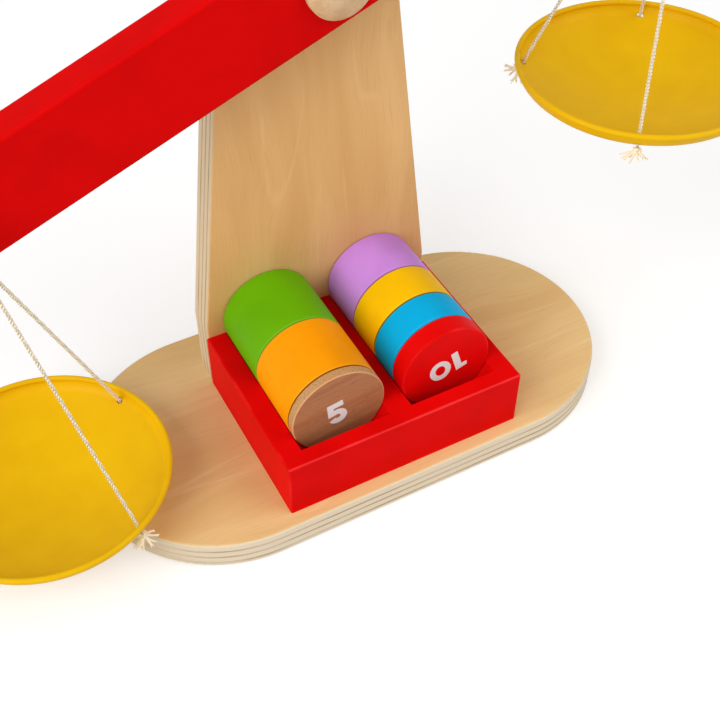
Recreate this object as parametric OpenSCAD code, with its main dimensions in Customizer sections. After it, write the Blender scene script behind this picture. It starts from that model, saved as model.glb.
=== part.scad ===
// Wooden toy balance scale: a base board with round ends, a tapered upright, a tilting beam
// that carries two hanging pans, and a tray of loose round weights.
// Origin at the middle of the base board's underside, +Z up, +X along the beam, front at -Y.
// Modelled as it stands with empty pans: the left pan down, just over the base board.

/* [Base board] */
// Length of the base board
base_l = 263; // [240:1:320]
// Depth of the base board, which is also the diameter of its round ends
base_d = 130; // [122:1:160]
// Thickness of the base board
base_t = 15; // [10:0.5:20]
// Rounding along the base board's edges
base_round = 1.25; // [0.5:0.25:4]

/* [Upright] */
// Thickness of the upright
upright_t = 15; // [10:0.5:18]
// Distance from the base board's middle line to the upright's front face
upright_y = 30; // [26:0.5:40]
// Height above the base board at which the upright's sides start to taper
upright_foot_h = 36; // [26:1:80]
// Width of the upright at the pivot, which is also the diameter of its round top
upright_neck_w = 72.5; // [50:0.5:100]
// Distance that the upright's foot stays in from the tray's sides
upright_in = 0.65; // [0:0.05:5]
// Rounding along the upright's edges
upright_round = 1; // [0.5:0.25:3]
// Height of the pivot above the base board
pivot_h = 207.5; // [190:0.5:260]

/* [Weights] */
// Diameter of the weights
weight_dia = 45; // [35:0.5:60]
// Rounding of the weights' rims
weight_round = 0.8; // [0.3:0.1:2]
// Thickness of the natural wood weight
natural_t = 4.6; // [4:0.1:12]
// Thickness of the orange weight
orange_t = 32.4; // [20:0.1:40]
// Thickness of the green weight
green_t = 36.2; // [20:0.1:44]
// Thickness of the red weight
red_t = 9.7; // [5:0.1:15]
// Thickness of the blue weight
blue_t = 16.35; // [8:0.05:22]
// Thickness of the yellow weight
yellow_t = 19.95; // [10:0.05:26]
// Thickness of the purple weight
purple_t = 26.35; // [15:0.05:34]
// Gap between a weight and its neighbours
weight_gap = 0.25; // [0.1:0.05:0.5]

/* [Weight tray] */
// Thickness of the tray's floor board
tray_floor_t = 12.4; // [11:0.2:18]
// Thickness of the walls where they meet under the middle of each groove
groove_edge_t = 2; // [1:0.25:4]
// Height of the walls' tops above the bottoms of the grooves
tray_wall_h = 16; // [10:0.5:18]
// Width of the tops of the two side walls
tray_side_t = 9.65; // [5:0.05:14]
// Width of the top of the divider between the two grooves
tray_divider_t = 10.9; // [5:0.1:14]
// Thickness of the tray's front board
tray_front_t = 7.8; // [5:0.1:14]
// Room round a weight in its groove
groove_gap = 0.4; // [0.3:0.1:2.5]
// Free room in front of the longer stack of weights
slot_end_gap = 6.5; // [4.5:0.1:12]
// Rounding along the tray's outer edges
tray_round = 1; // [0.3:0.1:2.5]

/* [Beam] */
// Distance from the beam's middle to each hanging peg
arm_l = 159.5; // [145:0.5:190]
// Height of the beam, which is also the diameter of its round ends
beam_h = 40; // [30:0.5:46]
// Thickness of the beam
beam_t = 15; // [12:0.5:17]
// Rounding along the beam's edges
beam_round = 1.5; // [0.5:0.25:3]
// Tilt of the beam as it rests, with its left end down
rest_tilt = 20.9; // [10:0.1:24]
// Height of the line between the hanging pegs above the pivot
hang_rise = 2; // [1:0.5:5]

/* [Pivot] */
// Diameter of the pivot peg's shank
pivot_dia = 12; // [8:0.5:16]
// Diameter of the pivot peg's head
pivot_head_dia = 28; // [22:0.5:34]
// Height of the pivot peg's head
pivot_head_h = 9; // [6:0.5:12]
// Diameter of the spacer ring between the upright and the beam
spacer_dia = 34; // [26:0.5:48]
// Running clearance round the pivot peg
pivot_clear = 0.08; // [0.03:0.01:0.1]
// Side play of the beam on the pivot peg
beam_play = 0.3; // [0.2:0.05:0.6]
// Distance that the pivot peg's end stays in from the upright's back
pivot_end_in = 0.5; // [0:0.1:3]
// Clearance of a glued peg in its bore
peg_glue_gap = 0.02; // [0.01:0.01:0.05]

/* [Hanging pegs] */
// Diameter of the hanging pegs' shanks
hang_dia = 7; // [5:0.5:9]
// Diameter of the hanging pegs' heads
hang_head_dia = 14; // [12:0.5:18]
// Height of the hanging pegs' heads
hang_head_h = 5; // [3.5:0.5:7]
// Least distance from the beam's front face to the pans' middle plane
hang_reach = 5.5; // [5:0.5:7]
// Depth to which a hanging peg is let into the beam
hang_depth = 9.5; // [6:0.5:11]

/* [Pans] */
// Diameter of the pans over the rim
pan_dia = 112.4; // [100:0.2:120]
// Depth of the pans from the middle of the rim bead to the underside
pan_depth = 18.4; // [14:0.2:24]
// Thickness of the pans' wall
pan_wall = 1.2; // [0.8:0.1:2]
// Radius of the pans' outer curve below the rim
pan_knuckle_r = 7; // [5:0.5:10]
// Radius of the pans' rim bead
pan_bead_r = 1.3; // [1.1:0.1:2]
// Clearance under the lower pan
pan_clear = 0.6; // [0.4:0.1:2]

/* [Strings] */
// Diameter of the cotton strings
string_dia = 1.8; // [1.2:0.1:2.2]
// Room round a string in its hole in the pan
string_hole_gap = 0.6; // [0.3:0.1:1]
// Room between a loop of string and its hanging peg
loop_gap = 0.3; // [0.2:0.05:0.6]
// Radius of the knot that gathers a pan's strings
gather_knot_r = 3.8; // [3.6:0.1:5]
// Radius of the knots under the pans' holes
end_knot_r = 2.3; // [1.8:0.1:2.8]
// Clearance between a knot and what it bears on
knot_clear = 0.1; // [0.05:0.05:0.3]
// Clearance between the strings and the beam's lower edge
string_clear = 0.5; // [0.3:0.1:1]
// Length of the frayed strands past the knots
fray_l = 5.5; // [3:0.5:8]
// Thickness of a frayed strand at its root
fray_dia = 0.9; // [0.6:0.1:1.2]
// Number of frayed strands at each knot
fray_count = 6; // [4:1:8]
// Angle of the first hole in the left pan from the beam's direction
left_hole_angle = 31.5; // [0:0.5:89]
// Angle of the first hole in the right pan from the beam's direction
right_hole_angle = 51.5; // [0:0.5:89]
// Angle of the holes round the pan's outer curve, down from the level of the rim
hole_dip = 52; // [40:1:58]

/* [Screws] */
// Diameter of the screws' shanks
screw_dia = 4; // [3:0.5:5]
// Diameter of the screws' countersunk heads
screw_head_dia = 8; // [7:0.5:9]
// Depth of the screws' heads below the base board's underside
screw_sink = 0.5; // [0.2:0.1:1.5]
// Length of the upright's screws
upright_screw_l = 36; // [28:1:45]
// Length of the tray's screws
tray_screw_l = 20; // [16:1:22]
// Distance between the upright's screws
upright_screw_pitch = 70; // [40:1:90]
// Clearance round a screw
screw_clear = 0.1; // [0.05:0.05:0.3]

/* [Hidden] */

$fn = 96;
edge_fn = 16;
nil = 0.01;

ply = "burlywood";
beech = "tan";
red_paint = "red";
yellow_enamel = "gold";
cotton = "ivory";
zinc = "silver";

// Weights of each stack, from the upright to the front
left_stack = [green_t, orange_t, natural_t];
right_stack = [purple_t, yellow_t, blue_t, red_t];

function total(list, count) = count == 0 ? 0 : list[count - 1] + total(list, count - 1);
function stack_l(list) = total(list, len(list)) + len(list) * weight_gap;

groove_r = weight_dia / 2 + groove_gap;
groove_half_w = sqrt(groove_r ^ 2 - (groove_r - tray_wall_h) ^ 2);
slot_x = tray_divider_t / 2 + groove_half_w;
slot_l = max(stack_l(left_stack), stack_l(right_stack)) + slot_end_gap;
tray_w = 2 * (slot_x + groove_half_w + tray_side_t);
tray_d = slot_l + tray_front_t;
tray_h = tray_floor_t + groove_edge_t + tray_wall_h;
tray_front_y = upright_y - tray_d;
slot_front_y = upright_y - slot_l;
floor_z = base_t + tray_floor_t;
groove_z = floor_z + groove_edge_t;
weight_z = groove_z + weight_gap + weight_dia / 2;
upright_half_w = tray_w / 2 - upright_in;

pivot_z = base_t + pivot_h;
beam_l = 2 * arm_l + beam_h;

// Middle of a hanging peg, where a pan swings: side is -1 on the left and 1 on the right
function hook(side) = [side * arm_l * cos(rest_tilt) - hang_rise * sin(rest_tilt), 0,
    pivot_z + side * arm_l * sin(rest_tilt) + hang_rise * cos(rest_tilt)];

// Pan section, with the middle of the rim bead at height 0
bead_x = pan_dia / 2 - pan_bead_r;
wall_r = bead_x + pan_wall / 2;
knuckle_x = wall_r - pan_knuckle_r;
bowl_r = (knuckle_x ^ 2 + pan_depth ^ 2 - pan_knuckle_r ^ 2) / (2 * (pan_depth - pan_knuckle_r));
bowl_z = bowl_r - pan_depth;
pan_drop = hook(-1)[2] - base_t - pan_clear - pan_depth;

// String route in the plane of one hole, as distance from the pan's axis and height from the peg:
// straight from the gathering knot through the middle of the wall to the knot that bears on the wall
string_r = string_dia / 2;
loop_r = hang_dia / 2 + loop_gap + string_r;
gather = [0, -loop_r - gather_knot_r];
knuckle = [knuckle_x, -pan_drop];
wall_arm = (pan_knuckle_r - pan_wall / 2) * [cos(hole_dip), -sin(hole_dip)];
hole = knuckle + wall_arm;
string_run = (hole - gather) / norm(hole - gather);
knot_arm_r = pan_knuckle_r + knot_clear + end_knot_r;
wall_along = wall_arm * string_run;
knot_past = sqrt(wall_along ^ 2 + knot_arm_r ^ 2 - wall_arm * wall_arm) - wall_along;
end_knot = hole + knot_past * string_run;
string_dip = atan2(-string_run[1], string_run[0]);
function hole_angles(side) = [for (i = [0:3]) (side < 0 ? left_hole_angle : right_hole_angle) + 90 * i];

// Room that a string needs in front of the beam where it passes the rounding of its lower edge,
// from how far it comes forward for each step that it goes down across the beam
string_slope = -string_run[0] / string_run[1];
function pass_slope(angle) = string_slope * abs(sin(angle))
    / (cos(rest_tilt) - string_slope * abs(cos(angle)) * sin(rest_tilt));
function pass_room(slope) = slope * (beam_h / 2 - beam_round + gather[1] * cos(rest_tilt))
    + (beam_round + string_r + string_clear) * sqrt(1 + slope ^ 2) - beam_round;
strings_reach = max([for (side = [-1, 1]) for (angle = hole_angles(side)) pass_room(pass_slope(angle))]);

beam_front_y = max(hang_reach, strings_reach);
beam_back_y = beam_front_y + beam_t;
spacer_t = upright_y - beam_back_y - beam_play;
hang_head_y = -gather_knot_r - loop_gap;

// Frayed strands lean this far from the way that the string points
fray_lean = 62;
fray_tip = 0.55;

// Share of a peg head's height that is a straight rim below its dome
head_rim_share = 0.3;
screw_tip_l = 5;
tray_screw_y = upright_y - slot_l / 2;

// Half section of a round board: radius r, thickness t, edges rounded by e
module edge_profile(r, t, e) {
    square([r - e, t]);
    translate([0, e]) square([r, t - 2 * e]);
    for (y = [e, t - e]) translate([r - e, y]) circle(e);
}

module round_disc(r, t, e, arc_fn = $fn) {
    rotate_extrude() edge_profile(r, t, e, $fn = arc_fn);
}

// Flat board of length l and width w with round ends, lying on the XY plane
module stadium_board(l, w, t, e) {
    for (side = [0, 180])
        rotate(side) translate([(l - w) / 2, 0, 0]) rotate(-90)
            rotate_extrude(angle = 180) edge_profile(w / 2, t, e);
    rotate([90, 0, 90]) linear_extrude(l - w, center = true) {
        edge_profile(w / 2, t, e);
        mirror([1, 0]) edge_profile(w / 2, t, e);
    }
}

// Straight round rod between two points of the XZ plane
module rod(from, to, r) {
    run = to - from;
    translate([from[0], 0, from[1]])
        rotate([0, atan2(run[0], run[1]), 0])
            cylinder(h = norm(run), r = r);
}

// Turned peg along +Z: the shank runs below the head's underside, which is at height 0
module turned_peg(shank_d, shank_l, head_d, head_h) {
    rim_h = head_rim_share * head_h;
    dome_h = head_h - rim_h;
    dome_r = ((head_d / 2) ^ 2 + dome_h ^ 2) / (2 * dome_h);
    rotate_extrude() {
        translate([0, -shank_l]) square([shank_d / 2, shank_l + rim_h]);
        square([head_d / 2, rim_h]);
        intersection() {
            translate([0, head_h - dome_r]) circle(dome_r);
            translate([0, rim_h - nil]) square([head_d / 2, dome_h + nil]);
        }
    }
}

// Countersunk wood screw along +Z, its head's face at height 0
module wood_screw(l, grow = 0) {
    head_h = (screw_head_dia - screw_dia) / 2;
    r = screw_dia / 2 + grow;
    rotate_extrude()
        polygon([[0, -grow], [screw_head_dia / 2 + grow, -grow], [screw_head_dia / 2 + grow, 0],
            [r, head_h], [r, l - screw_tip_l + grow], [0, l + grow]]);
}

module upright_screw_places() {
    for (x = [-1, 1] * upright_screw_pitch / 2)
        translate([x, upright_y + upright_t / 2, screw_sink]) children();
}

module tray_screw_places() {
    for (x = [-1, 1] * slot_x)
        translate([x, tray_screw_y, screw_sink]) children();
}

module base_board() {
    color(ply) difference() {
        stadium_board(base_l, base_d, base_t, base_round);
        upright_screw_places() wood_screw(upright_screw_l, screw_clear);
        tray_screw_places() wood_screw(tray_screw_l, screw_clear);
        upright_screw_places() mirror([0, 0, 1])
            cylinder(h = 2 * screw_sink, d = screw_head_dia + 2 * screw_clear);
        tray_screw_places() mirror([0, 0, 1])
            cylinder(h = 2 * screw_sink, d = screw_head_dia + 2 * screw_clear);
    }
}

// Tapered board with a round top: pads at its corners, joined and cut off level with the base board
module upright() {
    shoulder_r = 10;
    foot_r = 4;
    color(ply) difference() {
        translate([0, upright_y + upright_t, 0]) rotate([90, 0, 0]) hull() {
            translate([0, pivot_z])
                round_disc(upright_neck_w / 2, upright_t, upright_round, edge_fn);
            for (side = [-1, 1]) {
                translate([side * (upright_half_w - shoulder_r), base_t + upright_foot_h])
                    round_disc(shoulder_r, upright_t, upright_round, edge_fn);
                translate([side * (upright_half_w - foot_r), base_t - foot_r])
                    round_disc(foot_r, upright_t, upright_round, edge_fn, $fn = edge_fn);
            }
        }
        translate([-tray_w, upright_y - upright_t, base_t - tray_w])
            cube([2 * tray_w, 3 * upright_t, tray_w]);
        upright_screw_places() wood_screw(upright_screw_l, screw_clear);
        translate([0, upright_y + upright_t / 2, pivot_z]) rotate([90, 0, 0])
            cylinder(h = 2 * upright_t, d = pivot_dia + 2 * peg_glue_gap, center = true);
    }
}

module upright_screws() {
    color(zinc) upright_screw_places() wood_screw(upright_screw_l);
}

module tray_screws() {
    color(zinc) tray_screw_places() wood_screw(tray_screw_l);
}

// Rectangle from the Y axis outwards with its corners above rounded, symmetric about that axis
module arch_profile(w, h, e) {
    translate([-w / 2, 0]) square([w, h - e]);
    translate([e - w / 2, 0]) square([w - 2 * e, h]);
    for (side = [-1, 1]) translate([side * (w / 2 - e), h - e]) circle(e);
}

// Whole outer form of the tray, with its outer top and front edges rounded
module tray_form() {
    intersection() {
        translate([0, upright_y, base_t]) rotate([90, 0, 0])
            linear_extrude(tray_d) arch_profile(tray_w, tray_h, tray_round);
        translate([0, upright_y, base_t]) mirror([0, 1, 0])
            linear_extrude(tray_h) arch_profile(tray_w, tray_d, tray_round);
        translate([-tray_w / 2, upright_y + tray_d, base_t]) rotate([90, 0, 90])
            linear_extrude(tray_w) translate([-tray_d, 0]) arch_profile(2 * tray_d, tray_h, tray_round);
    }
}

// Piece of the tray's form between two corners
module tray_piece(low, high) {
    color(red_paint) intersection() {
        tray_form();
        translate(low) cube(high - low);
    }
}

module tray_floor() {
    difference() {
        tray_piece([-tray_w / 2, slot_front_y, base_t], [tray_w / 2, upright_y, floor_z]);
        tray_screw_places() wood_screw(tray_screw_l, screw_clear);
    }
}

// Grooves that the two stacks of weights lie in, cut through the length of the walls
module grooves() {
    for (x = [-1, 1] * slot_x)
        translate([x, tray_screw_y, groove_z + groove_r]) rotate([90, 0, 0])
            cylinder(h = 2 * slot_l, r = groove_r, center = true);
}

// Wall of the tray that reaches from one groove's middle, or the tray's side, to the next
module tray_wall(from, to) {
    difference() {
        tray_piece([from, slot_front_y, floor_z], [to, upright_y, base_t + tray_h]);
        grooves();
    }
}

module tray_left_wall() {
    tray_wall(-tray_w / 2, -slot_x);
}

module tray_divider() {
    tray_wall(-slot_x, slot_x);
}

module tray_right_wall() {
    tray_wall(slot_x, tray_w / 2);
}

module tray_front_board() {
    tray_piece([-tray_w / 2, tray_front_y, base_t], [tray_w / 2, slot_front_y, base_t + tray_h]);
}

// One weight of a stack, counted from the upright, lying in the slot on the given side
module stacked_weight(stack, place, side) {
    back_y = upright_y - total(stack, place) - (place + 1) * weight_gap;
    translate([side * slot_x, back_y, weight_z]) rotate([90, 0, 0])
        round_disc(weight_dia / 2, stack[place], weight_round);
}

module weight_green() {
    color("limegreen") stacked_weight(left_stack, 0, -1);
}

module weight_orange() {
    color("orange") stacked_weight(left_stack, 1, -1);
}

module weight_natural() {
    color(beech) stacked_weight(left_stack, 2, -1);
}

module weight_purple() {
    color("mediumpurple") stacked_weight(right_stack, 0, 1);
}

module weight_yellow() {
    color("gold") stacked_weight(right_stack, 1, 1);
}

module weight_blue() {
    color("deepskyblue") stacked_weight(right_stack, 2, 1);
}

module weight_red() {
    color(red_paint) stacked_weight(right_stack, 3, 1);
}

module pivot_peg() {
    head_y = beam_front_y - beam_play;
    color(beech) translate([0, head_y, pivot_z]) rotate([90, 0, 0])
        turned_peg(pivot_dia, upright_y + upright_t - pivot_end_in - head_y,
            pivot_head_dia, pivot_head_h);
}

module pivot_spacer() {
    color(beech) translate([0, upright_y, pivot_z]) rotate([90, 0, 0]) difference() {
        round_disc(spacer_dia / 2, spacer_t, beam_round);
        cylinder(h = 3 * spacer_t, d = pivot_dia + 2 * pivot_clear, center = true);
    }
}

// Puts its children at the pivot, tilted as the beam rests
module on_beam() {
    translate([0, 0, pivot_z]) rotate([0, -rest_tilt, 0]) children();
}

module beam() {
    color(red_paint) on_beam() difference() {
        translate([0, beam_back_y, hang_rise]) rotate([90, 0, 0])
            stadium_board(beam_l, beam_h, beam_t, beam_round);
        rotate([90, 0, 0])
            cylinder(h = 4 * beam_back_y, d = pivot_dia + 2 * pivot_clear, center = true);
        for (side = [-1, 1])
            translate([side * arm_l, beam_front_y + hang_depth, hang_rise]) rotate([90, 0, 0])
                cylinder(h = 2 * hang_depth, d = hang_dia + 2 * peg_glue_gap);
    }
}

module hanging_peg(side) {
    shank_l = beam_front_y + hang_depth - hang_head_y;
    color(beech) on_beam() translate([side * arm_l, hang_head_y, hang_rise])
        rotate([90, 0, 0]) turned_peg(hang_dia, shank_l, hang_head_dia, hang_head_h);
}

// Loop of string round a hanging peg, with the knot that gathers the pan's strings
module hanging_loop(side) {
    color(cotton) translate(hook(side)) {
        rotate([90, 0, 0]) rotate_extrude() translate([loop_r, 0]) circle(string_r);
        translate([0, 0, gather[1]]) sphere(gather_knot_r);
    }
}

// Half section of the space under the rim, inset from the pan's outer surface
module bowl_area(inset) {
    intersection() {
        union() {
            intersection() {
                translate([0, bowl_z]) circle(bowl_r - inset);
                polygon([[0, bowl_z], [0, -2 * pan_depth],
                    [knuckle_x * (1 + 2 * pan_depth / bowl_z), -2 * pan_depth]]);
            }
            translate([knuckle_x, 0]) circle(pan_knuckle_r - inset);
        }
        translate([0, -2 * pan_depth]) square([2 * wall_r, 2 * pan_depth]);
    }
}

// Shallow dish: a bowl that turns up in a tighter curve to a round rim bead
module dish() {
    rotate_extrude() {
        difference() {
            bowl_area(0);
            bowl_area(pan_wall);
        }
        translate([bead_x, 0]) circle(pan_bead_r);
    }
}

module pan(side) {
    color(yellow_enamel) translate(hook(side)) difference() {
        translate([0, 0, -pan_drop]) dish();
        for (angle = hole_angles(side))
            rotate(angle) rod(knuckle, knuckle + 2 * wall_arm, string_r + string_hole_gap);
    }
}

// String from the gathering knot through its hole to the knot outside the pan
module string(side, place) {
    color(cotton) translate(hook(side)) rotate(hole_angles(side)[place - 1])
        rod(gather + gather_knot_r * string_run, end_knot - end_knot_r * string_run, string_r);
}

// Knots outside the pan's wall, each with its frayed strands
module pan_knots(side) {
    color(cotton) translate(hook(side)) for (angle = hole_angles(side))
        rotate(angle) translate([end_knot[0], 0, end_knot[1]]) rotate([0, 90 + string_dip, 0]) {
            sphere(end_knot_r);
            for (i = [0:fray_count - 1])
                rotate([0, 0, 360 / fray_count * (i + 0.5)]) rotate([0, fray_lean, 0])
                    cylinder(h = end_knot_r + fray_l, d1 = fray_dia, d2 = fray_tip);
        }
}

base_board();
upright();
upright_screws();
tray_screws();
tray_floor();
tray_left_wall();
tray_divider();
tray_right_wall();
tray_front_board();
weight_natural();
weight_orange();
weight_green();
weight_red();
weight_blue();
weight_yellow();
weight_purple();
pivot_peg();
pivot_spacer();
beam();
hanging_peg(-1);  // left_hanging_peg
hanging_loop(-1);  // left_hanging_loop
pan(-1);  // left_pan
pan_knots(-1);  // left_pan_knots
string(-1, 1);  // left_string_1
string(-1, 2);  // left_string_2
string(-1, 3);  // left_string_3
string(-1, 4);  // left_string_4
hanging_peg(1);  // right_hanging_peg
hanging_loop(1);  // right_hanging_loop
pan(1);  // right_pan
pan_knots(1);  // right_pan_knots
string(1, 1);  // right_string_1
string(1, 2);  // right_string_2
string(1, 3);  // right_string_3
string(1, 4);  // right_string_4
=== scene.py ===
# %% [markdown]
# # A wooden toy balance scale
# The scale stands on a plywood base with round ends. A tapered upright carries a red beam that tilts
# on a turned peg, two yellow pans hang from it on cotton strings, and seven round weights lie in a
# red tray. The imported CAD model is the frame: its solids keep their shape and get their finish here,
# and what a solid can't show, such as the twist of a string or a printed number, is modelled on top
# of it.

# %% Load the frame
import math
import random

import bmesh
import bpy
from mathutils import Matrix, Vector


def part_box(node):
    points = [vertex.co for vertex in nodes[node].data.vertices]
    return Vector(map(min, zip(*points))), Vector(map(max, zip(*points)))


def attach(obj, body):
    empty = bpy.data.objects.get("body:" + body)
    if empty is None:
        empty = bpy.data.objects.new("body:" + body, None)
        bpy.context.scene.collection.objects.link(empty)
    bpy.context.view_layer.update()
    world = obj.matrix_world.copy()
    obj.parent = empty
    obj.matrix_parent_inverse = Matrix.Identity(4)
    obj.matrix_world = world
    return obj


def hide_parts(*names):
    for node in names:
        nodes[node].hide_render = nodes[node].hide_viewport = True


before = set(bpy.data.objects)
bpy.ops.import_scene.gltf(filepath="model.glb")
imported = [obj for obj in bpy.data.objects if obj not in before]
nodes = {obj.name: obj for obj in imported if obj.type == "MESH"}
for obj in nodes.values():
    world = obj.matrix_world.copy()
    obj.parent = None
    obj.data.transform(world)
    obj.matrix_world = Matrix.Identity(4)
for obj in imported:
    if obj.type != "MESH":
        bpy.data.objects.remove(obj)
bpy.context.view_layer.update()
MM = 0.001

# %% [markdown]
# ## The camera
# The picture looks down at the tray from the front left. The lens and the place of the camera were
# worked out from the corners of the tray and the rim of the base board, so the camera is set from
# three angles and a point rather than aimed by eye. Its matrix has the picture's right, up and back
# as its columns.

# %% Camera
CAMERA_AT = Vector((-170.41, -325.98, 421.46)) * MM
CAMERA_AZIMUTH = math.radians(-28.51)
CAMERA_ELEVATION = math.radians(46.79)
CAMERA_ROLL = math.radians(0.364)
CAMERA_LENS = 56.03

back = Vector((
    math.sin(CAMERA_AZIMUTH) * math.cos(CAMERA_ELEVATION),
    -math.cos(CAMERA_AZIMUTH) * math.cos(CAMERA_ELEVATION),
    math.sin(CAMERA_ELEVATION),
))
level = Vector((0, 0, 1)).cross(back).normalized()
upward = back.cross(level)
right = level * math.cos(CAMERA_ROLL) + upward * math.sin(CAMERA_ROLL)
top = upward * math.cos(CAMERA_ROLL) - level * math.sin(CAMERA_ROLL)

bpy.ops.object.camera_add()
camera = bpy.context.object
camera.matrix_world = Matrix.Translation(CAMERA_AT) @ Matrix((right, top, back)).transposed().to_4x4()
camera.data.lens = CAMERA_LENS
camera.data.sensor_width = 36
camera.data.clip_start = 0.01
bpy.context.scene.camera = camera
print("camera at", [round(v, 3) for v in CAMERA_AT])

# %% [markdown]
# ## Working by hand in code
# Operators act on whatever is selected, and loading the frame leaves its solids selected. So every
# step here first selects one object alone. A finished piece has its place in its mesh and its object
# at the origin, as the solids of the frame do, so a pattern that reads Object coordinates stays where
# it is.

# %% Small tools for selecting and finishing


def only(obj):
    """Selects one object alone and makes it the active one."""
    bpy.ops.object.select_all(action="DESELECT")
    obj.select_set(True)
    bpy.context.view_layer.objects.active = obj
    return obj


def apply_modifier(obj, kind, **settings):
    """Adds one modifier with its settings, and applies it to the mesh."""
    only(obj)
    bpy.ops.object.modifier_add(type=kind)
    modifier = obj.modifiers[-1]
    for key, value in settings.items():
        setattr(modifier, key, value)
    bpy.ops.object.modifier_apply(modifier=modifier.name)


def place(obj, matrix):
    """Moves an object by a matrix and puts that place into its mesh."""
    only(obj)
    obj.matrix_world = matrix @ obj.matrix_world
    bpy.ops.object.transform_apply(location=True, rotation=True, scale=True)
    return obj


def join(name, *parts):
    """Makes one object of several."""
    only(parts[0])
    for part in parts[1:]:
        part.select_set(True)
    bpy.ops.object.join()
    parts[0].name = name
    return parts[0]


def remove(obj):
    bpy.data.objects.remove(obj, do_unlink=True)


def turned_to(direction, at):
    """Matrix that turns +Z to a direction and moves the origin to a point."""
    return Matrix.Translation(at) @ Vector(direction).to_track_quat("Z", "X").to_matrix().to_4x4()


# %% [markdown]
# ## Twisted cotton string
# Each pan hangs on four strings of soft cotton, 2 mm thick. Real string is three yarns twisted round
# each other, and that is also the easiest way to make it: one yarn is a thin cylinder cut into short
# lengths, Spin sets two copies of it round the middle line, and a Simple Deform twist winds the three
# together. A bump map alone would leave the outline smooth, and the outline is what the eye follows
# on a thin string.

# %% String maker
STRING_R = 1.0 * MM
TWIST_PITCH = 5.2 * MM
CUTS_PER_TURN = 10
YARN_SIDES = 8
YARN_SHARE = 0.53
SEAM_GAP = 0.01 * MM


def straight_string(name, length, radius=STRING_R, pitch=TWIST_PITCH):
    """Three twisted yarns from the origin up +Z."""
    turns = max(1, round(length / pitch))
    yarn_r = radius * YARN_SHARE
    bpy.ops.object.select_all(action="DESELECT")
    bpy.ops.mesh.primitive_cylinder_add(
        vertices=YARN_SIDES, radius=yarn_r, depth=length, location=(radius - yarn_r, 0, length / 2)
    )
    string = bpy.context.object
    string.name = name
    bpy.ops.object.transform_apply(location=True, rotation=True, scale=True)
    bpy.ops.object.mode_set(mode="EDIT")
    bpy.ops.mesh.select_mode(type="EDGE")
    mesh = bmesh.from_edit_mesh(string.data)
    for edge in mesh.edges:
        low, high = edge.verts
        edge.select_set(abs(low.co.z - high.co.z) > length / 2)
    bmesh.update_edit_mesh(string.data)
    bpy.ops.mesh.subdivide(number_cuts=turns * CUTS_PER_TURN - 1)
    bpy.ops.mesh.select_all(action="SELECT")
    bpy.ops.mesh.spin(
        steps=2, dupli=True, angle=math.radians(240), center=(0, 0, 0), axis=(0, 0, 1)
    )
    bpy.ops.object.mode_set(mode="OBJECT")
    apply_modifier(
        string, "SIMPLE_DEFORM", deform_method="TWIST", deform_axis="Z", angle=turns * math.tau
    )
    only(string)
    bpy.ops.object.shade_smooth()
    return string


def bent_string(name, points, closed, radius=STRING_R, pitch=TWIST_PITCH):
    """A twisted string that follows a line of points, by the Curve modifier.

    The ends of a closed one meet, so their caps are taken out and the yarns are welded there.
    """
    line = bpy.data.curves.new(name + "_line", "CURVE")
    line.dimensions = "3D"
    spline = line.splines.new("POLY")
    spline.points.add(len(points) - 1)
    for point, at in zip(spline.points, points):
        point.co = (*at, 1)
    spline.use_cyclic_u = closed
    guide = bpy.data.objects.new(name + "_line", line)
    bpy.context.collection.objects.link(guide)
    ring = points + points[:1] if closed else points
    length = sum((b - a).length for a, b in zip(ring, ring[1:]))
    string = straight_string(name, length, radius, pitch)
    apply_modifier(string, "CURVE", object=guide, deform_axis="POS_Z")
    remove(guide)
    if closed:
        bpy.ops.object.mode_set(mode="EDIT")
        bpy.ops.mesh.select_mode(type="FACE")
        bpy.ops.mesh.select_all(action="DESELECT")
        bpy.ops.mesh.select_face_by_sides(number=YARN_SIDES)
        bpy.ops.mesh.delete(type="FACE")
        bpy.ops.mesh.select_all(action="SELECT")
        bpy.ops.mesh.remove_doubles(threshold=SEAM_GAP)
        bpy.ops.object.mode_set(mode="OBJECT")
    return string


print("string:", 2 * STRING_R / MM, "mm thick, one turn in", TWIST_PITCH / MM, "mm")

# %% [markdown]
# ## The strings' route
# A loop hangs on each peg of the beam, and a knot below it gathers the four strings. From there each
# runs straight through a hole low in the pan's wall and ends in a knot outside. The numbers are those
# of the CAD model: the hooks are its hinge points, and the rest is measured from a hook, outwards and
# down.

# %% Route of the strings
HOOKS = {
    "left": Vector((-149.719, 0, 167.469)) * MM,
    "right": Vector((148.292, 0, 281.268)) * MM,
}
FIRST_HOLE = {"left": 31.5, "right": 51.5}
HOLE_ANGLES = {side: [math.radians(turn + 90 * i) for i in range(4)] for side, turn in FIRST_HOLE.items()}
GATHER_DROP = 8.5 * MM
GATHER_R = 3.8 * MM
HOLE_OUT = 52.440 * MM
HOLE_DROP = 138.512 * MM
KNOT_PAST = 3.081 * MM
END_KNOT_R = 2.3 * MM
TUCK = 1 * MM


def string_line(side, angle):
    """The gathering knot's middle, the end knot's middle and the way from one to the other."""
    gather = HOOKS[side] + Vector((0, 0, -GATHER_DROP))
    outward = Vector((math.cos(angle), math.sin(angle), 0))
    hole = HOOKS[side] + outward * HOLE_OUT + Vector((0, 0, -HOLE_DROP))
    run = (hole - gather).normalized()
    return gather, hole + run * KNOT_PAST, run


gather, knot, run = string_line("left", HOLE_ANGLES["left"][3])
print("string run:", round((knot - gather).length / MM, 1), "mm, way", [round(v, 3) for v in run])

# %% [markdown]
# ## A tied knot with frayed ends
# Outside the pan each string is tied in a small overhand knot and its end is left to fray. A trefoil
# line is the closed form of an overhand knot, so a short twisted string bent along it gives the lumps
# of a real one. The ends are yarns that spread and thin out: curves with a radius that falls to the
# tip, made a mesh.

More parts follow.
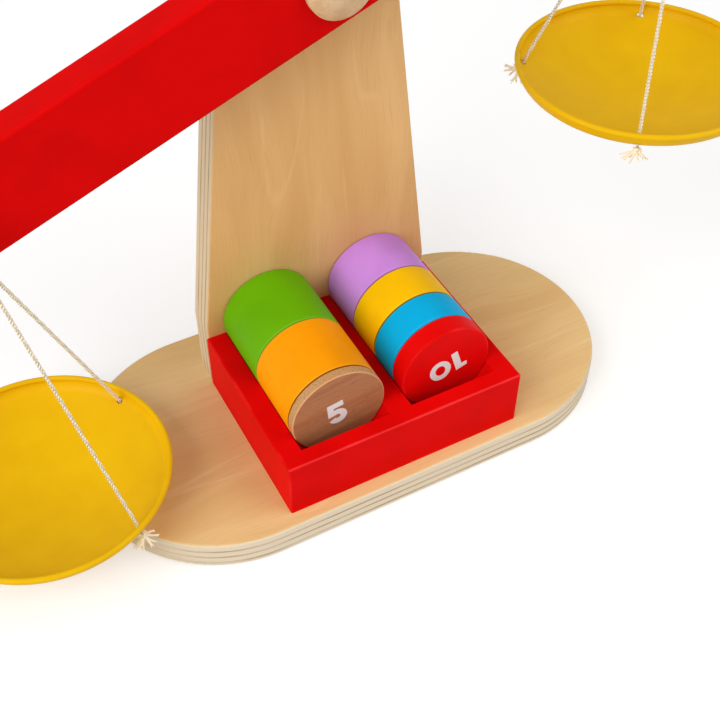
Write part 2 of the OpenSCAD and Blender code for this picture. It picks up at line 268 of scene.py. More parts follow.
# %% Knot maker
FRAY_YARNS = 11
FRAY_LENGTH = 4.8 * MM
FRAY_ROOT = 0.55 * MM
FRAY_TIP = 0.30 * MM
FRAY_LEAN = math.radians(62)
FRAY_BOW = 0.7 * MM
HAIRS_PER_YARN = 3
HAIR_BEND = 0.35 * MM
HAIR_STRAY = 0.9 * MM
KNOT_STRING_R = 0.72 * MM
KNOT_PITCH = 3.4 * MM
chance = random.Random(11)


def trefoil(reach, count=96):
    """Points of an overhand knot's closed line, out to a reach from its middle."""
    scale = reach / 3
    points = []
    for i in range(count):
        t = math.tau * i / count
        points.append(Vector((
            math.sin(t) + 2 * math.sin(2 * t),
            math.cos(t) - 2 * math.cos(2 * t),
            -1.5 * math.sin(3 * t),
        )) * scale)
    return points


def frayed_ends(name):
    """Yarns that spread from a knot at the origin, away from +Z, each split into hairs at its tip."""
    tuft = bpy.data.curves.new(name, "CURVE")
    tuft.dimensions = "3D"
    tuft.bevel_depth = 1
    tuft.bevel_resolution = 1
    tuft.resolution_u = 4
    tuft.use_fill_caps = True

    def strand(points, radii):
        spline = tuft.splines.new("NURBS")
        spline.points.add(len(points) - 1)
        for point, at, radius in zip(spline.points, points, radii):
            point.co = (*at, 1)
            point.radius = radius
        spline.use_endpoint_u = True
        spline.order_u = 3

    for i in range(FRAY_YARNS):
        turn = math.tau * (i + 0.5) / FRAY_YARNS + chance.uniform(-0.25, 0.25)
        lean = FRAY_LEAN + chance.uniform(-0.2, 0.16)
        way = Vector((
            math.sin(lean) * math.cos(turn), math.sin(lean) * math.sin(turn), math.cos(lean)
        ))
        length = END_KNOT_R + FRAY_LENGTH * chance.uniform(0.72, 1.0)
        bow = Vector((chance.uniform(-1, 1), chance.uniform(-1, 1), chance.uniform(0, 1))) * FRAY_BOW
        strand(
            [
                way * length * 0.15,
                way * length * 0.45 + bow * 0.6,
                way * length * 0.75 + bow,
                way * length,
            ],
            [FRAY_ROOT, FRAY_ROOT, FRAY_ROOT * 0.85, FRAY_TIP],
        )
        for _ in range(HAIRS_PER_YARN):
            stray = Vector((chance.uniform(-1, 1), chance.uniform(-1, 1), chance.uniform(-0.3, 1)))
            start = way * length * 0.6 + bow * 0.8
            strand(
                [
                    start,
                    start + way * length * 0.2 + stray * HAIR_BEND,
                    way * length + stray * HAIR_STRAY,
                ],
                [FRAY_TIP, FRAY_TIP, FRAY_TIP * 0.45],
            )
    tuft_object = bpy.data.objects.new(name, tuft)
    bpy.context.collection.objects.link(tuft_object)
    only(tuft_object)
    bpy.ops.object.convert(target="MESH")
    bpy.ops.object.shade_smooth()
    return tuft_object


def tied_knot(name):
    """The lump of an overhand knot with its frayed ends, round the origin."""
    line = trefoil(END_KNOT_R - KNOT_STRING_R)
    lump = bent_string(name + "_lump", line, True, KNOT_STRING_R, KNOT_PITCH)
    return join(name, lump, frayed_ends(name + "_ends"))


print("knot:", 2 * END_KNOT_R / MM, "mm across with", FRAY_YARNS, "yarn ends")

# %% [markdown]
# ## Strings and knots in place
# Every string is one cord: it starts in the gathering knot, it is held taut by the pan's weight and
# it ends in its own knot. Each is modelled straight up +Z, turned to its way and moved, so that all
# eight share one shape, each with a mesh of its own. They ride on their pan, which hangs level while
# the beam tilts.

# %% Strings and knots
cotton_pieces = []
for side in HOOKS:
    for place_number, angle in enumerate(HOLE_ANGLES[side], 1):
        gather, knot, run = string_line(side, angle)
        start = gather + run * (GATHER_R - TUCK)
        end = knot - run * (END_KNOT_R - TUCK)
        length = (end - start).length
        name = f"{side}_twisted_string_{place_number}"
        string = straight_string(name, length)
        place(string, turned_to(run, start))
        tied = tied_knot(f"{side}_tied_knot_{place_number}")
        place(tied, turned_to(run, knot))
        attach(string, side + "_pan")
        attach(tied, side + "_pan")
        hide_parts(f"{side}_string_{place_number}")
        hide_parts(side + "_pan_knots")
        cotton_pieces += [string, tied]
print("strings and knots:", len(cotton_pieces), "pieces, each string", round(length / MM, 1), "mm")

# %% [markdown]
# ## The loops on the hanging pegs
# A loop of the same string goes over each peg and comes down on both sides to the knot that gathers
# the four strings. Its line is part of a circle with two straight legs, and the knot is a larger
# trefoil.

# %% Hanging loops
LOOP_R = 4.6 * MM
LEG_TURN = math.acos(LOOP_R / GATHER_DROP)
ARC_POINTS = 40
GATHER_STRING_R = 1.15 * MM
GATHER_PITCH = 5.6 * MM


def loop_points(hook):
    """From the gathering knot up one side, over the peg and down the other."""
    knot = hook + Vector((0, 0, -GATHER_DROP))
    first = -math.pi / 2 + LEG_TURN
    last = 1.5 * math.pi - LEG_TURN
    over = []
    for i in range(ARC_POINTS):
        t = first + (last - first) * i / (ARC_POINTS - 1)
        over.append(hook + Vector((math.cos(t), 0, math.sin(t))) * LOOP_R)
    return [knot, *over, knot]


for side, hook in HOOKS.items():
    loop = bent_string(side + "_loop_string", loop_points(hook), False)
    line = trefoil(GATHER_R - GATHER_STRING_R)
    lump = bent_string(side + "_gather_lump", line, True, GATHER_STRING_R, GATHER_PITCH)
    place(lump, Matrix.Translation(hook + Vector((0, 0, -GATHER_DROP))))
    tied_loop = join(side + "_tied_loop", loop, lump)
    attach(tied_loop, side + "_pan")
    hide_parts(side + "_hanging_loop")
    cotton_pieces.append(tied_loop)
print("loops:", [o.name for o in cotton_pieces if o.name.endswith("loop")])

# %% [markdown]
# ## Printed numbers on the weights
# The front face of each weight has its number of grams printed on it in white. Two of them show in
# the tray: they lie as they were put in, so the 5 stands a little turned and the 10 stands on its
# head. The built-in font is too light for this fat print, so each figure is drawn as an outline of
# straight lines and arcs, one unit high. A flat curve fills the outline, is made a mesh and gets the
# thickness of a print.

# %% Figures for the print
STROKE = 0.24


def arc(centre, radii, start, end, count=18):
    """Points of an ellipse's arc, with the angles in degrees."""
    points = []
    for i in range(count + 1):
        t = math.radians(start + (end - start) * i / count)
        points.append((centre[0] + radii[0] * math.cos(t), centre[1] + radii[1] * math.sin(t)))
    return points


def bowl(centre, radii, start, end):
    """Outer and inner line of a round stroke: the inner one runs back."""
    inside = [r - STROKE for r in radii]
    return arc(centre, radii, start, end), arc(centre, inside, end, start)


zero_out, zero_in = bowl((0.45, 0.5), (0.45, 0.5), 0, 360)
two_out, two_in = bowl((0.36, 0.66), (0.35, 0.34), 165, -40)
three_out, three_in = bowl((0.33, 0.715), (0.31, 0.285), 160, -35)
belly_out, belly_in = bowl((0.33, 0.315), (0.345, 0.315), 50, -160)
five_out, five_in = bowl((0.355, 0.335), (0.345, 0.335), 108, -158)
FIGURES = {
    "0": [zero_out[:-1], zero_in[:-1]],
    "1": [[(0, 0.80), (0.02, 1), (0.50, 1), (0.50, 0), (0.22, 0), (0.22, 0.78)]],
    "2": [two_out + [(0.42, 0.21), (0.71, 0.21), (0.71, 0), (0, 0), (0, 0.17)] + two_in],
    "3": [three_out + belly_out + belly_in + [(0.22, 0.41), (0.22, 0.60)] + three_in],
    "4": [
        [(0.42, 1), (0.68, 1), (0.68, 0.40), (0.80, 0.40), (0.80, 0.20), (0.68, 0.20), (0.68, 0),
         (0.44, 0), (0.44, 0.20), (0, 0.20), (0, 0.38)],
        [(0.44, 0.40), (0.44, 0.70), (0.23, 0.40)],
    ],
    "5": [
        [(0.07, 1), (0.64, 1), (0.64, 1 - STROKE), (0.29, 1 - STROKE)]
        + five_out + five_in + [(0.03, 0.41)]
    ],
}
print("figures:", {figure: sum(map(len, outlines)) for figure, outlines in FIGURES.items()}, "points")

# %% Numbers
INK_PROUD = 0.05 * MM
FIGURE_GAP = 0.14
# For each weight: the figures, their height in mm, their turn in degrees and their shift in mm.
NUMBERS = {
    "natural": ("5", 13.4, 8.7, (-1.2, -0.2)),
    "orange": ("35", 11.0, -22, (0, 0)),
    "green": ("40", 11.0, 141, (0, 0)),
    "red": ("10", 12.1, 197, (0.65, 0.3)),
    "blue": ("15", 11.0, 38, (0, 0)),
    "yellow": ("20", 11.0, -64, (0, 0)),
    "purple": ("30", 11.0, 97, (0, 0)),
}


def flat_number(name, digits):
    """The figures of a number side by side, one unit high, with their middle at the origin."""
    print_line = bpy.data.curves.new(name, "CURVE")
    print_line.dimensions = "2D"
    print_line.fill_mode = "BOTH"
    start = 0.0
    for digit in digits:
        for outline in FIGURES[digit]:
            spline = print_line.splines.new("POLY")
            spline.points.add(len(outline) - 1)
            for point, (x, y) in zip(spline.points, outline):
                point.co = (start + x, y - 0.5, 0, 1)
            spline.use_cyclic_u = True
        start += max(x for x, _ in FIGURES[digit][0]) + FIGURE_GAP
    number = bpy.data.objects.new(name, print_line)
    bpy.context.collection.objects.link(number)
    only(number)
    bpy.ops.object.convert(target="MESH")
    return place(number, Matrix.Translation((-(start - FIGURE_GAP) / 2, 0, 0)))


ink_pieces = []
for colour, (digits, height, turn, (aside, above)) in NUMBERS.items():
    low, high = (Vector(corner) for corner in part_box("weight_" + colour))
    face = Vector(((low.x + high.x) / 2 + aside * MM, low.y, (low.z + high.z) / 2 + above * MM))
    number = flat_number(colour + "_number", digits)
    place(
        number,
        Matrix.Translation(face)
        @ Matrix.Rotation(math.pi / 2, 4, "X")
        @ Matrix.Rotation(math.radians(turn), 4, "Z")
        @ Matrix.Scale(height * MM, 4),
    )
    apply_modifier(number, "SOLIDIFY", thickness=2 * INK_PROUD, offset=0)
    only(number)
    bpy.ops.object.shade_flat()
    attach(number, colour + "_weight")
    ink_pieces.append(number)
print("numbers:", [o.name for o in ink_pieces])

# %% [markdown]
# ## Writing a finish
# A finish is a small tree of nodes. Three classes keep it readable: Number wraps a socket, so that a
# sum written in Python adds its Math nodes, NodeTree adds any other node from its type, its settings
# and its sockets, and Finish is the tree of one material.

# %% Node tools


class Number:
    """A socket that holds a value over the surface. Sums on it add Math nodes."""

    def __init__(self, finish, socket):
        self.finish = finish
        self.socket = socket

    def __add__(self, other):
        return self.finish.math("ADD", self, other)

    def __sub__(self, other):
        return self.finish.math("SUBTRACT", self, other)

    def __rsub__(self, other):
        return self.finish.math("SUBTRACT", other, self)

    def __mul__(self, other):
        return self.finish.math("MULTIPLY", self, other)

    def __mod__(self, other):
        return self.finish.math("MODULO", self, other)

    def __abs__(self):
        return self.finish.math("ABSOLUTE", self)

    __radd__ = __add__
    __rmul__ = __mul__


class NodeTree:
    """Adds nodes to the tree of a material or of the world."""

    def __init__(self, tree):
        self.tree = tree

    def node(self, kind, settings=None, sockets=None, out=0):
        """Adds a node: its settings first, then the values or links of its sockets."""
        made = self.tree.nodes.new(kind)
        for key, value in (settings or {}).items():
            setattr(made, key, value)
        for key, value in (sockets or {}).items():
            self.feed(made.inputs[key], value)
        return Number(self, made.outputs[out])

    def feed(self, socket, value):
        """Links a value to a socket, or sets the socket to a plain one."""
        if isinstance(value, Number):
            self.tree.links.new(value.socket, socket)
        elif socket.type == "RGBA":
            socket.default_value = (*value, 1)
        else:
            socket.default_value = value

    def math(self, operation, *values):
        return self.node("ShaderNodeMath", {"operation": operation}, dict(enumerate(values)))

    def mix(self, first, second, share):
        """A colour between two, by a share from 0 to 1."""
        return self.node(
            "ShaderNodeMix", {"data_type": "RGBA"}, {0: share, 6: first, 7: second}, out=2
        )

    def step(self, value, start, end):
        """Smooth rise from 0 at start to 1 at end."""
        return self.node(
            "ShaderNodeMapRange", {"interpolation_type": "SMOOTHSTEP"},
            {"Value": value, "From Min": start, "From Max": end},
        )

    def millimetres(self, spin=(0, 0, 0)):
        """X, Y and Z of the piece in millimetres, after a turn."""
        at = self.node("ShaderNodeTexCoord", out=3)
        at = self.node(
            "ShaderNodeMapping", None, {"Vector": at, "Rotation": spin, "Scale": (1000, 1000, 1000)}
        )
        return self.parts(at)

    def facing(self):
        """X, Y and Z of the way that the surface faces, in the piece's own axes."""
        return self.parts(self.node("ShaderNodeTexCoord", out=1))

    def parts(self, vector):
        """The three numbers of a vector."""
        first = self.node("ShaderNodeSeparateXYZ", None, {0: vector})
        outputs = first.socket.node.outputs
        return [Number(self, outputs[i]) for i in range(3)]

    def noise(self, x, y, z, detail=2.0, rough=0.5):
        """Noise from 0 to 1 whose grain is as long as the three scaled lengths say."""
        at = self.node("ShaderNodeCombineXYZ", None, {0: x, 1: y, 2: z})
        return self.node(
            "ShaderNodeTexNoise", None, {"Vector": at, "Scale": 1, "Detail": detail, "Roughness": rough}
        )


class Finish(NodeTree):
    """A material with one Principled shader."""

    def __init__(self, name, **constants):
        self.material = bpy.data.materials.new(name)
        self.material.use_nodes = True
        super().__init__(self.material.node_tree)
        self.shader = self.tree.nodes["Principled BSDF"]
        for key, value in constants.items():
            self.shader.inputs[key.replace("_", " ")].default_value = value

    def bump(self, height, depth):
        """Relief of that depth in millimetres, fed to the shader's Normal."""
        relief = self.node(
            "ShaderNodeBump", None, {"Height": height, "Strength": 1, "Distance": depth * MM}
        )
        self.feed(self.shader.inputs["Normal"], relief)

    def colour(self, value):
        self.feed(self.shader.inputs["Base Color"], value)

    def roughness(self, value):
        self.feed(self.shader.inputs["Roughness"], value)


def scaled(colour, by, plus=0.0):
    """A colour made darker or paler."""
    return [min(1.0, v * by + plus) for v in colour]


def dress(finish, *objects):
    """Gives a finish to pieces, and to solids of the frame by name."""
    for obj in objects:
        obj = nodes[obj] if isinstance(obj, str) else obj
        obj.data.materials.clear()
        obj.data.materials.append(finish.material)


print("node tools ready")

# %% [markdown]
# ## Plywood
# The base board and the upright are birch plywood under a thin clear varnish. Plywood is a solid
# pattern: sheets of wood whose grain runs one way and then across. So the pattern is made in the
# solid too: the distance through the board tells which sheet a point is in, and the surface cuts
# through the sheets where it may. On the edge of the board thick pale sheets show their long side,
# and thin ones between them their end grain, which is darker, with a line of glue on both sides.

# %% Plywood
# Pairs of a pale and a dark sheet through the board, the pale one's share, and where the lowest starts.
PLY_PAIRS = 3.78
PALE_SHARE = 0.78
LOWEST_PLY = 0.2


def plywood(name, across, along, start, thickness, spot, face_tint, edge_tint):
    """A board of plywood.

    across and along are the axes through the sheets and with the outer grain, start is where the board
    begins, spot moves the pattern along the grain, and the tints scale the colours of face and edge.
    """
    finish = Finish(name, Specular_IOR_Level=0.2)

    def shade(*colour):
        return [v * t for v, t in zip(colour, face_tint)]

    def edge_shade(*colour):
        return [v * t for v, t in zip(colour, edge_tint)]

    axes = dict(zip("XYZ", finish.millimetres()))
    faces = dict(zip("XYZ", finish.facing()))
    other = ({"X", "Y", "Z"} - {across, along}).pop()
    g, c, d = axes[along] + spot, axes[other], axes[across] - start

    wander = finish.noise(g * 0.011, c * 0.03, d * 0.03, 1.0) - 0.5
    bent = c + wander * 22
    tone = finish.noise(g * 0.0045, bent * 0.04, d * 0.04, 2.0)
    figure = finish.noise(g * 0.007, bent * 0.10, d * 0.10, 3.0, 0.55)
    lines = finish.noise(g * 0.0028, c * 0.026, d * 0.026, 1.0)
    lines = abs((lines * 6) % 1 - 0.5) * 2
    broken = finish.step(finish.noise(g * 0.03, c * 0.06, d * 0.06, 1.0), 0.42, 0.62)
    fibre = finish.noise(g * 0.05, bent * 1.9, d * 1.9, 2.0)
    fleck = finish.step(finish.noise(g * 0.22, c * 2.4, d * 2.4, 1.0), 0.70, 0.78)

    face = finish.mix(shade(0.690, 0.405, 0.160), shade(0.780, 0.500, 0.225), finish.step(tone, 0.3, 0.7))
    face = finish.mix(face, shade(0.640, 0.345, 0.125), finish.step(figure, 0.50, 0.78) * 0.35)
    face = finish.mix(face, shade(0.860, 0.620, 0.330), finish.step(lines, 0.88, 0.99) * broken * 0.26)
    face = finish.mix(face, shade(0.560, 0.300, 0.110), finish.step(fibre, 0.48, 0.80) * 0.30)
    face = finish.mix(face, shade(0.420, 0.205, 0.075), fleck * 0.20)

    sheet = d * (PLY_PAIRS / thickness) + LOWEST_PLY
    sheet = sheet + (finish.noise(g * 0.05, c * 0.05, d * 0.05, 1.0) - 0.5) * 0.10
    sheet = finish.node("ShaderNodeClamp", None, {0: sheet, 1: 0.05, 2: PLY_PAIRS - 0.10})
    ply = sheet % 1
    crossed = finish.math("GREATER_THAN", ply, PALE_SHARE)
    glue = finish.step(abs(abs(ply - (1 + PALE_SHARE) / 2) - (1 - PALE_SHARE) / 2), 0.05, 0.02)
    end_long = faces[along] * faces[along]
    end_cross = faces[other] * faces[other]
    end_grain = end_long * 0.55 + (end_cross - end_long * 0.55) * crossed
    pores = finish.noise(g * 0.9, c * 0.9, d * 2.2, 2.0)
    streak = finish.step(finish.noise(g * 0.035, c * 0.035, d * 0.9, 2.0), 0.35, 0.62)
    edge = finish.mix(edge_shade(0.740, 0.615, 0.440), edge_shade(0.820, 0.710, 0.530), pores)
    edge = finish.mix(edge, (0.400, 0.245, 0.125), end_grain * (0.30 + streak * 0.55))
    edge = finish.mix(edge, (0.260, 0.155, 0.080), glue * (0.30 + streak * 0.35))

    on_edge = finish.step(abs(faces[across]), 0.93, 0.60)
    finish.colour(finish.mix(face, edge, on_edge))
    finish.roughness(0.40 + fibre * 0.14 + on_edge * 0.18)
    finish.bump(fibre + on_edge * end_grain * pores * 0.8, 0.035)
    return finish


base_ply = plywood(
    "base_plywood", across="Z", along="X", start=0.0, thickness=15.0, spot=40.0,
    face_tint=(1.08, 1.185, 1.225), edge_tint=(1, 1, 1),
)
upright_ply = plywood(
    "upright_plywood", across="Y", along="Z", start=30.0, thickness=15.0, spot=310.0,
    face_tint=(1.06, 1.01, 0.93), edge_tint=(0.92, 0.86, 0.77),
)
dress(base_ply, "base_board")
dress(upright_ply, "upright")
print("plywood:", 2 * int(PLY_PAIRS) + 1, "sheets, on base_board and upright")

# %% [markdown]
# ## Turned and cut hardwood
# The thinnest weight is bare wood under varnish, and so are the pegs. The weight was cut from a
# plank, so its face shows the grain running across it, a little turned as it lies. Its round side is
# paler, with the ends of the fibres as dots. The bevel between face and side is painted paler still,
# as a highlight along the rounded rim. The pegs were turned from dowel, and their grain runs along
# them. Short dark dashes are what tells beech from other pale woods.

# %% Hardwood


def hardwood(name, pale, dark, spin, side=None):
    """Bare wood whose grain runs along X after the spin. side is the colour of a disc's round side."""
    finish = Finish(name, Specular_IOR_Level=0.3)
    x, y, z = finish.millimetres(spin)
    wander = finish.noise(x * 0.02, y * 0.05, z * 0.05, 1.0) - 0.5
    band = finish.noise(x * 0.012, y * 0.25, (z + wander * 6) * 0.25, 2.0)
    fibre = finish.noise(x * 0.07, y * 2.2, z * 2.2, 2.0)
    dash = finish.step(finish.noise(x * 0.35, y * 2.6, z * 2.6, 1.0), 0.60, 0.70)
    tint = finish.mix(pale, dark, finish.step(band, 0.32, 0.72) * 0.7)
    tint = finish.mix(tint, dark, finish.step(fibre, 0.45, 0.78) * 0.5)
    tint = finish.mix(tint, scaled(dark, 0.55), dash * 0.45)
    if side:
        flat = abs(finish.facing()[1])
        dots = finish.step(finish.noise(x * 1.6, y * 1.6, z * 1.6, 2.0), 0.50, 0.66)
        round_side = finish.mix(side, scaled(side, 0.62), dots * 0.8)
        tint = finish.mix(tint, round_side, finish.step(flat, 0.95, 0.60))
        # Painted highlight: the rounded bevel between face and round side is painted paler.
        bevel = finish.step(flat, 0.35, 0.55) * finish.step(flat, 0.97, 0.85)
        tint = finish.mix(tint, scaled(side, 1.4), bevel * 0.6)
    finish.colour(tint)
    finish.roughness(0.44 + fibre * 0.14)
    finish.bump(fibre - dash * 0.6, 0.03)
    return finish


natural_disc = hardwood(
    "natural_disc_wood", (0.455, 0.190, 0.080), (0.335, 0.118, 0.042), (0, math.radians(8.7), 0),
    side=(0.570, 0.300, 0.120),
)
peg_wood = hardwood(
    "turned_peg_wood", (0.740, 0.510, 0.290), (0.600, 0.370, 0.180), (0, 0, math.radians(90))
)
dress(natural_disc, "weight_natural")
dress(peg_wood, "pivot_peg", "pivot_spacer", "left_hanging_peg", "right_hanging_peg")
print("hardwood: on the natural weight and the pegs")

# %% [markdown]
# ## Satin paint
# The tray, the beam and the other weights are painted in strong colours with a satin sheen. The paint
# is thin, so the fibres of the wood below raise it a little, and its gloss is not quite even. Along the
# edges it is a shade paler, partly from wear and partly as a painted highlight on the rounding, most
# along the front top edges. Where the edges are comes from the piece's own box: on the surface one of
# the three distances to the sides is nothing, and the next larger one is the edge's. Painted shade
# darkens the paint where little light reaches: round the front rim of each disc where it meets the
# disc in front, under the beam and inside the tray.

# %% Paint
BOARD_GLOSS = 0.02
DISC_GLOSS = 0.05


def paint(name, colour, grain, box=None, disc=None, rim_shade=0.0, below=0.0, inside=0.0):
    """Paint over wood, whose fibres are scaled along each axis by grain.

    box or disc says where the edges are that are painted paler, partly as wear and partly as a highlight.
    The last three arguments say how much painted shade darkens a disc's front rim, the underside and
    the inside of a box.
    """
    finish = Finish(name, Specular_IOR_Level=BOARD_GLOSS if box else DISC_GLOSS)
    x, y, z = finish.millimetres()
    fibre = finish.noise(x * grain[0], y * grain[1], z * grain[2], 2.0)
    cloud = finish.noise(x * 0.045, y * 0.045, z * 0.045, 2.0)
    speck = finish.noise(x * 1.3, y * 1.3, z * 1.3, 2.0)
    if box:
        sides = []
        for axis, low, high in zip((x, y, z), *box):
            sides.append(finish.math("MINIMUM", abs(axis - low / MM), abs(axis - high / MM)))
        least = finish.math("MINIMUM", finish.math("MINIMUM", sides[0], sides[1]), sides[2])
        most = finish.math("MAXIMUM", finish.math("MAXIMUM", sides[0], sides[1]), sides[2])
        to_edge = sides[0] + sides[1] + sides[2] - least - most
    else:
        low, high = disc
        middle = (low + high) / 2
        off_x, off_z = x - middle.x / MM, z - middle.z / MM
        out = finish.math("SQRT", off_x * off_x + off_z * off_z)
        to_rim = abs(out - (high.x - low.x) / 2 / MM)
        to_face = finish.math("MINIMUM", abs(y - low.y / MM), abs(y - high.y / MM))
        to_edge = to_rim + to_face
    # Paler edges, partly wear and partly a painted highlight where the rounding catches the light.
    wear_and_highlight = finish.step(to_edge + (speck - 0.5) * 1.2, 1.3, 0.3) * finish.step(cloud, 0.35, 0.65)
    tint = finish.mix(scaled(colour, 0.90), colour, finish.step(cloud, 0.25, 0.6))
    tint = finish.mix(tint, scaled(colour, 0.82), finish.step(fibre, 0.55, 0.85) * 0.25)
    tint = finish.mix(tint, scaled(colour, 1.08, 0.04), wear_and_highlight * 0.5)
    # Painted highlight: a paler line along the front top edge of the box, where the rounding catches the
    # light.
    if box:
        near_front = finish.step(y - box[0][1] / MM, 0.9, 0.4)
        front = near_front * finish.step(box[1][2] / MM - z, 0.9, 0.4)
        tint = finish.mix(tint, scaled(colour, 1.15, 0.08), front * 0.32)
    # Painted shade inside the box, on faces away from its outer sides, but not on walls that face left
    # towards the key lamp.
    if inside:
        away = finish.step(finish.facing()[0], -0.60, -0.15)
        tint = finish.mix(tint, scaled(colour, 0.25), finish.step(least, 1.0, 6.0) * away * inside)
    # Painted shade: a dark line round a disc's front rim, where it meets the disc in front.
    if rim_shade:
        rim = finish.step(y - low.y / MM, 0.42, 0.18) * finish.step(to_rim, 1.3, 1.0)
        tint = finish.mix(tint, scaled(colour, 0.22), rim * rim_shade)
    # Painted shade on faces that look down, along the beam's underside.
    if below:
        down = finish.step(finish.facing()[2], -0.25, -0.75)
        tint = finish.mix(tint, scaled(colour, 0.30), down * below)
    finish.colour(tint)
    finish.roughness(0.38 + cloud * 0.12 + fibre * 0.05)
    finish.bump(fibre * 0.7 + speck * 0.3, 0.03)
    return finish


RED = (0.760, 0.002, 0.002)
BEAM_RED = (0.700, 0.002, 0.002)
tray_low = Vector(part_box("tray_front_board")[0])
tray_high = Vector(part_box("tray_right_wall")[1])
tray_box = (tray_low, Vector((tray_high.x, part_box("tray_floor")[1][1], tray_high.z)))
# The tray gets painted shade inside its slots, and the beam painted shade on its underside.
tray_red = paint("tray_red_paint", RED, (0.05, 1.1, 1.1), box=tray_box, inside=0.75)
beam_red = paint("beam_red_paint", BEAM_RED, (0.05, 1.1, 1.1), box=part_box("beam"), below=0.8)
dress(tray_red, "tray_floor", "tray_left_wall", "tray_divider", "tray_right_wall", "tray_front_board")
dress(beam_red, "beam")
WEIGHT_COLOURS = {
    "red": (0.800, 0.002, 0.002),
    "orange": (0.970, 0.345, 0.002),
    "green": (0.142, 0.445, 0.002),
    "blue": (0.002, 0.430, 0.800),
    "yellow": (0.960, 0.560, 0.002),
    "purple": (0.620, 0.285, 0.850),
}
# How dark the painted shade is round the front rim of each disc.
RIM_SHADE = {"orange": 0.9, "yellow": 0.9, "purple": 0.6, "green": 0.15, "blue": 0.2, "red": 0.0}
for colour, value in WEIGHT_COLOURS.items():
    solid = "weight_" + colour
    disc = tuple(Vector(corner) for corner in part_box(solid))
    dress(
        paint(colour + "_weight_paint", value, (1.1, 0.05, 1.1), disc=disc, rim_shade=RIM_SHADE[colour]), solid
    )
print("paint: red tray and beam, weights in", list(WEIGHT_COLOURS))

# %% [markdown]
# ## Moulded pans
# The pans are one moulded shell each, in a warm yellow with a satin gloss. Moulded plastic is even in
# colour, so its life is in the gloss: a faint ripple, and fine scuffs where things have been laid in
# it.

# %% Pan plastic
pan_yellow = Finish("pan_yellow_plastic", Specular_IOR_Level=0.06)
x, y, z = pan_yellow.millimetres()
ripple = pan_yellow.noise(x * 0.06, y * 0.06, z * 0.06, 2.0)
scuff = pan_yellow.noise(x * 0.5, y * 0.5, z * 0.5, 4.0, 0.65)
scuffed = pan_yellow.step(scuff, 0.52, 0.72)
pan_tint = pan_yellow.mix((0.780, 0.445, 0.002), (0.815, 0.478, 0.003), pan_yellow.step(ripple, 0.3, 0.7))
pan_yellow.colour(pan_yellow.mix(pan_tint, (0.900, 0.540, 0.020), scuffed * 0.10))
pan_yellow.roughness(0.30 + ripple * 0.08 + scuffed * 0.12)
pan_yellow.bump(ripple + scuff * 0.05, 0.02)
dress(pan_yellow, "left_pan", "right_pan")
print("pan plastic: on both pans")

# %% [markdown]
# ## Cotton, print and screws
# Cotton string is a warm white with a soft sheen and no gloss. The print is a thin white ink that the
# wood shows through in specks. The screws under the base board are zinc plated steel.

# %% Cotton, print and screws
cotton = Finish(
    "cotton_string",
    Roughness=0.9,
    Sheen_Weight=1.0,
    Sheen_Roughness=0.35,
    Sheen_Tint=(1.0, 0.88, 0.66, 1.0),
    Specular_IOR_Level=0.2,
)
x, y, z = cotton.millimetres()
lint = cotton.noise(x * 2.2, y * 2.2, z * 2.2, 3.0, 0.6)
dust = cotton.noise(x * 0.12, y * 0.12, z * 0.12, 1.0)
cotton_tint = cotton.mix((0.990, 0.850, 0.600), (1.000, 0.915, 0.720), cotton.step(lint, 0.3, 0.65))
cotton.colour(cotton.mix(cotton_tint, (0.930, 0.770, 0.540), cotton.step(dust, 0.5, 0.8) * 0.3))
cotton.bump(lint, 0.04)
dress(cotton, *cotton_pieces)

ink = Finish("white_ink", Specular_IOR_Level=0.1)
x, y, z = ink.millimetres()
worn = ink.step(ink.noise(x * 2.0, y * 2.0, z * 2.0, 3.0, 0.6), 0.58, 0.74)
ink.colour(ink.mix((0.800, 0.760, 0.740), (0.640, 0.540, 0.500), worn * 0.6))
ink.roughness(0.48 + worn * 0.2)
dress(ink, *ink_pieces)

zinc = Finish("zinc_plate", Metallic=1.0)
x, y, z = zinc.millimetres()
plate = zinc.noise(x * 0.8, y * 0.8, z * 0.8, 3.0)
zinc.colour(zinc.mix((0.560, 0.550, 0.520), (0.740, 0.740, 0.720), plate))
zinc.roughness(0.28 + plate * 0.2)
dress(zinc, "upright_screws", "tray_screws")
print("cotton on", len(cotton_pieces), "pieces, ink on", len(ink_pieces))

# %% [markdown]
# ## Floor and light
# The picture was taken on white, in even light: a wide soft lamp high on the left, a weaker one on
# the right and white all round. The floor takes the object's soft shadow, and shows itself as white
# to the camera only, so that the white costs no light on the object. Away from the lamps it glows
# more, so that no grey edge shows against the sky, which is white to the camera in the same way.

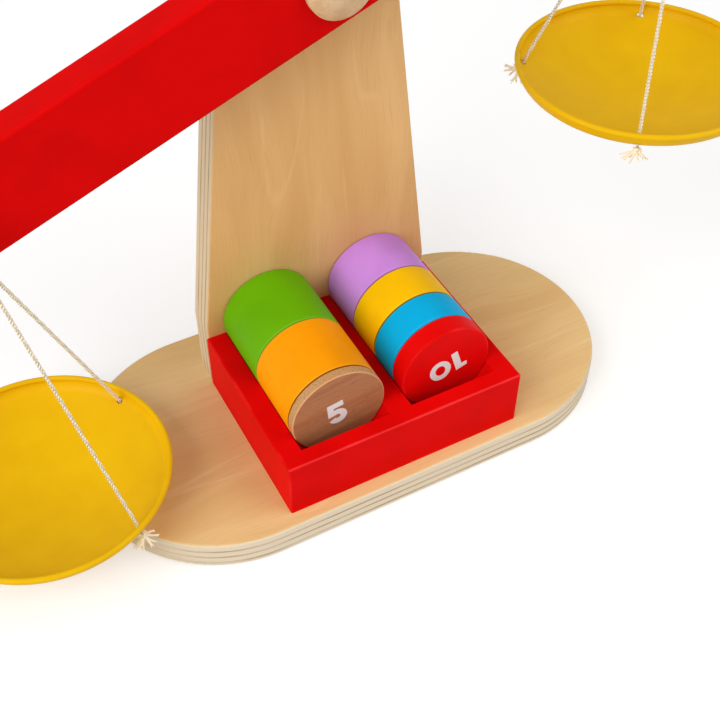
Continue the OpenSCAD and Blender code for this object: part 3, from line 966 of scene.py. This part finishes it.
# %% Floor, lamps and sky
FLOOR_SIZE = 8.0
FLOOR_DROP = 0.0003
FLOOR_GREY = (0.80, 0.80, 0.80)
SHOWN_GREY = (0.70, 0.70, 0.70)
NEAR_GLOW = 0.385
FAR_GLOW = 0.33
GLOW_RISES = (450, 2200)
SKY = 0.41
LAMP_AIM = Vector((0, 0, 0.1))
bpy.ops.object.select_all(action="DESELECT")
bpy.ops.mesh.primitive_plane_add(size=FLOOR_SIZE, location=(0, 0, -FLOOR_DROP))
floor = bpy.context.object
floor.name = "floor"


def seen_directly(finish):
    """1 for rays that show the white itself: from the camera, a mirror or glass."""
    path = finish.node("ShaderNodeLightPath").socket.node.outputs
    mirror, glass = Number(finish, path["Is Glossy Ray"]), Number(finish, path["Is Transmission Ray"])
    return finish.math(
        "MAXIMUM", finish.math("MAXIMUM", Number(finish, path["Is Camera Ray"]), mirror), glass
    )


white = Finish("white_floor", Roughness=0.9, Specular_IOR_Level=0.0, Emission_Strength=1.0)
shown = seen_directly(white)
white.colour(white.mix(FLOOR_GREY, SHOWN_GREY, shown))
x, y, z = white.millimetres()
away = white.math("SQRT", x * x + y * y)
glow = shown * (NEAR_GLOW + white.step(away, *GLOW_RISES) * FAR_GLOW)
white.feed(white.shader.inputs["Emission Color"], white.mix((0, 0, 0), (1, 1, 1), glow))
dress(white, floor)


def soft_lamp(name, at, size, watts):
    """A square lamp that shines at the object."""
    bpy.ops.object.light_add(type="AREA", location=at)
    lamp = bpy.context.object
    lamp.name = name
    lamp.data.size = size
    lamp.data.energy = watts
    lamp.rotation_euler = (LAMP_AIM - Vector(at)).to_track_quat("-Z", "Y").to_euler()


soft_lamp("key_lamp", at=(-1.90, -0.60, 1.45), size=2.0, watts=44)
soft_lamp("fill_lamp", at=(1.45, -1.15, 1.75), size=2.0, watts=25)

world = bpy.data.worlds.new("white_studio")
world.use_nodes = True
bpy.context.scene.world = world
sky = NodeTree(world.node_tree)
background = world.node_tree.nodes["Background"]
background.inputs["Color"].default_value = (1, 1, 1, 1)
sky.feed(background.inputs["Strength"], SKY + seen_directly(sky) * (1 - SKY))
bpy.context.scene.view_settings.view_transform = "Standard"
print("floor, two lamps and a sky of", SKY)
